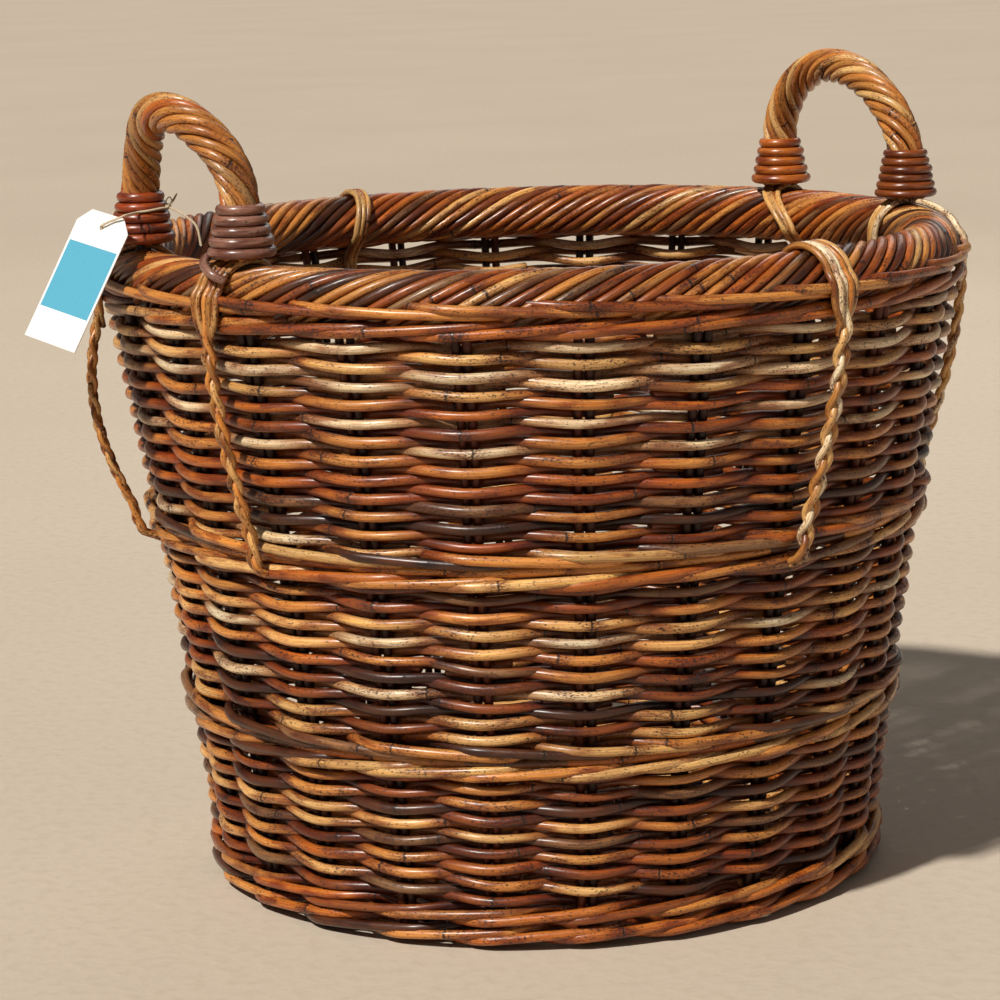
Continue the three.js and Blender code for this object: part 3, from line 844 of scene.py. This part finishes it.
def plait_lines(node, rod_radius, shift_gather, shift_foot, outside, gather):
    """For the plait below the gather: middle, radius and height at each point."""
    low, _ = box_mm(node)
    points = points_mm(node)
    hang = points[(points[:, 2] < 350) & (points[:, 2] > 300)]
    bulge = max(0.0, (np.hypot(hang[:, 0], hang[:, 1]) - wall_outer(hang[:, 2])).max() - 7.5)
    share = np.linspace(0, 1, 90)
    down = gather + (low[2] - 5 - gather) * share
    clear = 2.3 * rod_radius + bulge * np.sin(math.pi * share**0.9)
    over_waling, end_in = 3.2 * smooth_step(0.84, 0.93, share), 8 * smooth_step(0.96, 1.0, share)
    radial = np.maximum(wall_outer(down) + clear + over_waling - end_in, outside - 60 * share)
    return shift_gather + (shift_foot - shift_gather) * share, radial, down


def build_tie(node, seed, azimuth):
    """Strands up from inside the wall, fanned over the rope border; three go on as a plait outside."""
    rod_radius, half_fan, shift_inside, shift_gather, shift_foot = TIES[node]
    gather = box_mm("top_waling")[0][2] + 3
    outside = box_mm("top_waling")[1][0] + rod_radius + 0.8
    middle, spread, radial, height = fan_lines(
        rod_radius, half_fan, shift_inside, shift_gather, outside, gather)
    shift, plait_radial, down = plait_lines(node, rod_radius, shift_gather, shift_foot, outside, gather)
    rods = Rods(seed)

    def fan(side, lift):
        waver = wander(rods.random, len(middle), 0.5, 5)
        return np.column_stack([side * spread + middle + waver, radial + lift, height])

    def strand(path):
        tangential, out, z = path.T
        line = ring_points(azimuth + np.degrees(tangential / out), out, z)
        tone = pick_tone(rods.random, TIE_TONES)
        thick = rod_radius * rods.random.uniform(0.92, 1.06)
        rods.add(line, thick, tone, 8, rods.random.uniform(100, 240))

    for side, phase in ((-1, -90), (0, 30), (1, 150)):
        around = math.radians(phase) + 2 * math.pi * (gather - down) / PLAIT_LENGTH
        swing = 1.3 * rod_radius * np.sin(around)
        plait = np.column_stack([shift + swing, plait_radial + 0.85 * rod_radius * np.sin(2 * around), down])
        strand(np.vstack([spline(np.vstack([fan(side, 0.0), plait[:1]]), 60)[:-1], plait]))
    for side in (-0.5, 0.5):
        strand(spline(np.vstack([fan(side, 0.9), (shift_gather, outside - 2.5, gather - 9)]), 70))
    rods.piece(node + "_rods", "tie_rattan", [node])


# ---------- base ----------
base_low, base_high = box_mm("base_weave")
BASE_MIDDLE = (base_low[2] + base_high[2]) / 2 + 1
BASE_TURN = FIRST_STAKE - STAKE_SPACING / 2  # azimuth of the lower bundle
HUB_RADIUS = np.hypot(*points_mm("base_weave")[:, :2].T).min()
SPOKE_REACH = base_high[0] - 3


def stick_line(side, lift):
    """A base stick along X, side sticks from its bundle's middle, spread into a spoke at each end."""
    stick_gap = 8.6
    tip_angle = math.radians(side * STAKE_SPACING)
    tip = SPOKE_REACH * np.array([math.cos(tip_angle), math.sin(tip_angle)])
    neck = np.array([HUB_RADIUS - 16, side * stick_gap])
    half = [tip, 0.7 * tip + 0.3 * neck, 0.4 * tip + 0.6 * neck, neck]
    flat = np.array([*half, (0.0, side * stick_gap), *((-x, y) for x, y in reversed(half))])
    share = np.linspace(0, 1, len(flat))
    x, y = (np.interp(np.linspace(0, 1, 40), share, flat[:, k]) for k in range(2))
    return x, y, BASE_MIDDLE + lift * (1 - smooth_step(30, 70, np.abs(x)))


def build_sticks(name, node, bundle_turn, lift):
    """A bundle of base sticks, which lies above or below the other where they cross."""
    per_bundle = STAKES // 4
    angle = math.radians(BASE_TURN + bundle_turn)
    cos, sin = math.cos(angle), math.sin(angle)
    rods = Rods(60 + bundle_turn)
    for i in range(per_bundle):
        x, y, z = stick_line(i - (per_bundle - 1) / 2, lift)
        rods.cane(np.column_stack([x * cos - y * sin, x * sin + y * cos, z]), 3.6, WALING_TONES, (120, 240),
                  sides=8)
    rods.piece(name, "stick_rattan", [node])


def build_base_weave():
    """Thin rods woven round the spokes, one ring to a row."""
    weaver_radius = 2.7
    weave_height = 5.3  # how far a weaver's centre runs above and below the spokes
    lapped = 3  # degrees that a ring's two ends run on past each other
    rows = int((SPOKE_REACH - HUB_RADIUS) / (2 * weaver_radius + 0.5))
    rods = Rods(66)
    for row in range(rows):
        radius = HUB_RADIUS - 2 + (row + 0.5) * (SPOKE_REACH - HUB_RADIUS) / rows
        azimuth = rods.random.uniform(0, 360) + np.linspace(-lapped, 360 + lapped, STAKES * 8)
        wave = to_and_fro(azimuth - BASE_TURN) * (1 if row % 2 else -1)
        height = BASE_MIDDLE + weave_height * wave + wander(rods.random, len(azimuth), 0.2, 30)
        parting = np.linspace(-1.4, 1.4, len(azimuth)) * near_ends(azimuth, 8)
        line = ring_points(azimuth, radius + parting, height)
        rods.cane(line, weaver_radius * rods.random.uniform(0.9, 1.05), WEAVE_TONES, WEAVER_NODES, sides=8)
    rods.piece("base_weave_rods", "weave_rattan", ["base_weave"])


# ---------- swing tag and its string ----------
TWINE = linear(0xD8C6A6)
KNOT_HEIGHT = 463.0


def tag_axes(hole, hinge):
    """The card's outward, across and up directions, from its node and the hinge it swings on."""
    points = points_mm("tag") - hole
    across = -hinge
    out = np.linalg.svd(points - points.mean(axis=0))[2][2]
    out = out if out[1] < 0 else -out
    return out, across, np.cross(out, across)


def string_paths(leg, hole, axes):
    """The loop from the knot round the wrapped leg and through the card's hole, and the loose end."""
    def round_leg(azimuth, drop):
        return np.array([leg[0], leg[1], 0.0]) + ring_points(azimuth, 18.6, KNOT_HEIGHT - drop)

    def on_card(out, across, up):
        return hole + axes[0] * out + axes[1] * across + axes[2] * up

    knot = round_leg(-15, 0)
    loop = [
        knot, round_leg(40, 0), round_leg(95, 1), round_leg(150, 3), round_leg(193, 5),
        on_card(-6.8, -0.6, 0.4), on_card(-2.5, 0, 0), on_card(1.2, 0, 0), on_card(2.4, 3, 1.6),
        on_card(2.2, 10, 6), on_card(1.8, 18.5, 11),
        round_leg(-90, 2), round_leg(-62, 1), round_leg(-38, 0.5), knot - UP,
    ]
    hang = ((-42, 13.0, -4.0), (-44, 27.0, -11.0), (-48, 34.0, -23.4))
    loose = [knot, *(knot + ring_points(*place) for place in hang)]
    return knot, spline(loop, 420), spline(loose, 110)


def build_string(leg, hole, axes):
    """Two-ply twine, tied in a knot with two small bows."""
    twist_length = 3.4
    knot, *paths = string_paths(leg, hole, axes)
    rods = Rods(80)
    for path in paths:
        for ply in range(2):
            around = math.pi * ply + 2 * math.pi * distance_along(path) / twist_length
            rods.add(twisted(path, 0.42, around), 0.46, TWINE * rods.random.uniform(0.92, 1.06), sides=6)
    turn = np.linspace(0, 2 * math.pi, 60)
    for size, tilt in ((1.7, 0.0), (1.4, 1.1)):
        trefoil = np.column_stack([
            np.sin(turn) + 2 * np.sin(2 * turn),
            np.cos(turn) - 2 * np.cos(2 * turn),
            -np.sin(3 * turn),
        ]) * size / 3
        tipped = trefoil @ np.array(Matrix.Rotation(tilt, 3, "X")).T
        rods.add(knot + tipped, 0.75, TWINE, sides=6)
    for lean, size in ((-35, 5.0), (50, 3.6)):
        bow = ((lean, 1.0, 0.8), (lean + 30, 1.2, 1.6), (lean + 70, 0.8, 0.9))
        points = [knot + ring_points(azimuth, size * out, size * up) for azimuth, out, up in bow]
        rods.add(spline([knot, *points, knot], 40), 0.4, linear(0xCBB691), sides=6)
    rods.piece("tag_twine", "twine", ["tag_string"], body="tag_string")


def card_outline(half, top, bottom, cut_across, cut_down):
    """Points about 6 mm apart round the card, whose top corners are cut."""
    corners = [
        (-half, bottom), (half, bottom), (half, top - cut_down), (half - cut_across, top),
        (cut_across - half, top), (-half, top - cut_down),
    ]
    outline = []
    for (x0, y0), (x1, y1) in zip(corners, corners[1:] + corners[:1]):
        pieces = max(1, round(math.hypot(x1 - x0, y1 - y0) / 6))
        outline += [(x0 + (x1 - x0) * k / pieces, y0 + (y1 - y0) * k / pieces) for k in range(pieces)]
    return outline


def card_sheet(local):
    """One side of the card as points and faces on its plane, with the hole left open."""
    step = 5  # between the points inside the outline
    half, top = local[:, :2].max(axis=0)
    bottom = local[:, 1].min()
    cut_across = half - local[local[:, 1] > top - 0.1][:, 0].max()
    cut_down = top - local[local[:, 0] > half - 0.1][:, 1].max()
    hole_radius = np.hypot(local[:, 0], local[:, 1]).min()
    outline = card_outline(half, top, bottom, cut_across, cut_down)
    ring = [(hole_radius * math.cos(a), hole_radius * math.sin(a)) for a in np.arange(24) * math.pi / 12]
    inner = [
        (x, y)
        for x in np.arange(-half + step, half - 3, step)
        for y in np.arange(bottom + step, top - 3, step)
        if math.hypot(x, y) > hole_radius + 2 and abs(x) + y < half + top - cut_across - 3
    ]
    edges = [(i, (i + 1) % len(outline)) for i in range(len(outline))]
    edges += [(len(outline) + i, len(outline) + (i + 1) % len(ring)) for i in range(len(ring))]
    points = [Vector(p) for p in outline + ring + inner]
    flat, _, faces, _, _, _ = delaunay_2d_cdt(points, edges, [], 2, 1e-5)
    flat = np.array([tuple(p) for p in flat])
    return flat, [f for f in faces if np.linalg.norm(flat[list(f)].mean(axis=0)) > hole_radius * 0.9]


def build_card(hole, axes):
    """The card, punched and with its top corners cut, with a slight curl in the paper."""
    out, across, up = axes
    local = (points_mm("tag") - hole) @ np.array([across, up, out]).T
    half = local[:, 0].max()
    thick = np.ptp(local[:, 2])
    flat, faces = card_sheet(local)
    curl = 0.3 * (flat[:, 0] / half) ** 2 * smooth_step(0, -60, flat[:, 1])
    in_plane = hole + np.outer(flat[:, 0], across) + np.outer(flat[:, 1], up)
    sheets = [in_plane + np.outer(level - curl, out) for level in (thick / 2, -thick / 2)]
    count = len(flat)
    front = [list(f) for f in faces]
    back = [[v + count for v in reversed(f)] for f in faces]
    sides = {side for face in front for side in zip(face, face[1:] + face[:1])}
    walls = [[b, a, a + count, b + count] for a, b in sorted(sides) if (b, a) not in sides]
    mesh = bpy.data.meshes.new("swing_tag")
    mesh.from_pydata(np.concatenate(sheets) * MM, [], front + back + walls)
    add_vectors(mesh, "place", np.column_stack([np.tile(flat, (2, 1)), np.repeat([0.0, thick], count)]))
    mesh.materials.append(card_material(half - 1.9, panel_top=13.6, panel_bottom=60.0))
    add_piece("swing_tag", mesh, ["tag"], "tag")


# ---------- stage ----------
def add_lamp(name, kind, place, size, strength, colour):
    """A lamp aimed at the basket; size is a disc's diameter in metres or the sun's in degrees."""
    data = bpy.data.lights.new(name, kind)
    if kind == "SUN":
        data.angle = math.radians(size)
    else:
        data.shape = "DISK"
        data.size = size
    data.energy = strength
    data.color = colour
    lamp = add_object(name, data)
    lamp.location = place
    lamp.rotation_euler = (Vector((0.0, 0.0, 0.3)) - Vector(place)).to_track_quat("-Z", "Y").to_euler()


def build_stage():
    size = 30.0
    mesh = bpy.data.meshes.new("floor")
    corners = [(-size, -size, 0), (size, -size, 0), (size, size, 0), (-size, size, 0)]
    mesh.from_pydata(corners, [], [(0, 1, 2, 3)])
    mesh.materials.append(floor_material())
    add_object("floor", mesh)

    add_lamp("key_light", "SUN", (-1.9, -2.4, 4.0), 3.5, 4.3, (1.0, 0.955, 0.88))
    add_lamp("fill_light", "AREA", (2.6, -2.2, 1.6), 2.4, 6, (1.0, 0.95, 0.9))
    add_lamp("back_light", "AREA", (0.6, 2.8, 2.2), 2.0, 12, (1.0, 0.97, 0.93))

    world = bpy.data.worlds.new("studio")
    world.use_nodes = True
    tree = world.node_tree
    background = tree.nodes["Background"]
    background.inputs["Color"].default_value = (1.0, 0.96, 0.92, 1.0)
    seen = tree.nodes.new("ShaderNodeLightPath").outputs["Is Camera Ray"]
    strength = tree.nodes.new("ShaderNodeMapRange")
    strength.inputs["To Min"].default_value = 0.13  # as light on the basket
    strength.inputs["To Max"].default_value = 0.6  # as the backdrop the camera sees
    tree.links.new(seen, strength.inputs["Value"])
    tree.links.new(strength.outputs[0], background.inputs["Strength"])
    bpy.context.scene.world = world
    bpy.context.scene.view_settings.view_transform = "Standard"


def build_camera():
    place = (0.0, -2.0717, 0.6476)
    pitch, yaw, roll = math.radians(10.99), math.radians(-0.70), math.radians(-1.705)
    turns = ((-yaw, "Z"), (math.pi / 2 - pitch, "X"), (roll, "Z"))
    heading, tipped, rolled = (Matrix.Rotation(angle, 4, axis) for angle, axis in turns)
    data = bpy.data.cameras.new("camera")
    data.sensor_width = 36.0
    data.lens = 110.54
    camera = add_object("camera", data)
    camera.matrix_world = Matrix.Translation(place) @ heading @ tipped @ rolled
    bpy.context.scene.camera = camera


# ---------- the basket ----------
CANES = {  # how the rods of each slot differ from plain lacquered cane
    "weave": {},
    "waling": {},
    "stake": {"roughness": 0.5, "coat": 0.2},
    "stick": {"roughness": 0.5, "coat": 0.2},
    "rope": {"roughness": 0.38, "coat": 0.6},
    "handle": {"roughness": 0.38, "mottle": 0.5},
    "wrap": {"roughness": 0.34, "coat": 0.75, "speckle": 0.5},
    "tie": {"roughness": 0.4, "coat": 0.4},
}
materials = {f"{use}_rattan": rattan(f"{use}_rattan_rods", **look) for use, look in CANES.items()}
materials["twine"] = twine_material()

weave_zone("lower_weave", 5.4, 2, 10, rows_above=1)
weave_zone("middle_weave", 5.76, 2, 20, rows_above=1)
weave_zone("upper_weave", 5.95, 3, 30, rows_below=1, rows_above=1, pale_above=0.75)
waling_band("foot_waling", 50, FOOT_COURSES)
waling_band("lower_waling", 51, WALL_COURSES)
waling_band("middle_waling", 52, WALL_COURSES)
waling_band("top_waling", 53, TOP_COURSES)
build_stakes()
build_rope()
build_handle("left_handle", ("back", "front"), 70)
build_handle("right_handle", ("front", "back"), 71)
for seed, (leg, tone, turns, tail) in enumerate(WRAPS, 1):
    build_wrap(leg, seed, tone, turns, tail)
for seed, (leg, *_) in enumerate(WRAPS, 91):
    build_tie(leg + "_tie", seed, azimuth_of(leg_foot(leg)))
for seed, node in enumerate(("front_side_tie", "back_side_tie"), 97):
    side_low, side_high = box_mm(node)
    build_tie(node, seed, azimuth_of((side_low + side_high) / 2))
build_sticks("base_sticks_lower", "base_split_sticks", 0, -3.4)
build_sticks("base_sticks_upper", "base_threaded_sticks", 90, 3.4)
build_base_weave()
leg_axis, _ = joint("string_turn")
tag_hole, tag_hinge = joint("tag_swing")
card_axes = tag_axes(tag_hole, tag_hinge)
build_string(leg_axis, tag_hole, card_axes)
build_card(tag_hole, card_axes)

core_material = buried_cane()
for node in ("rim_hoop", "left_handle_core", "right_handle_core"):
    held = frame["nodes"][node]
    held.data.materials.clear()
    held.data.materials.append(core_material)
build_stage()
build_camera()
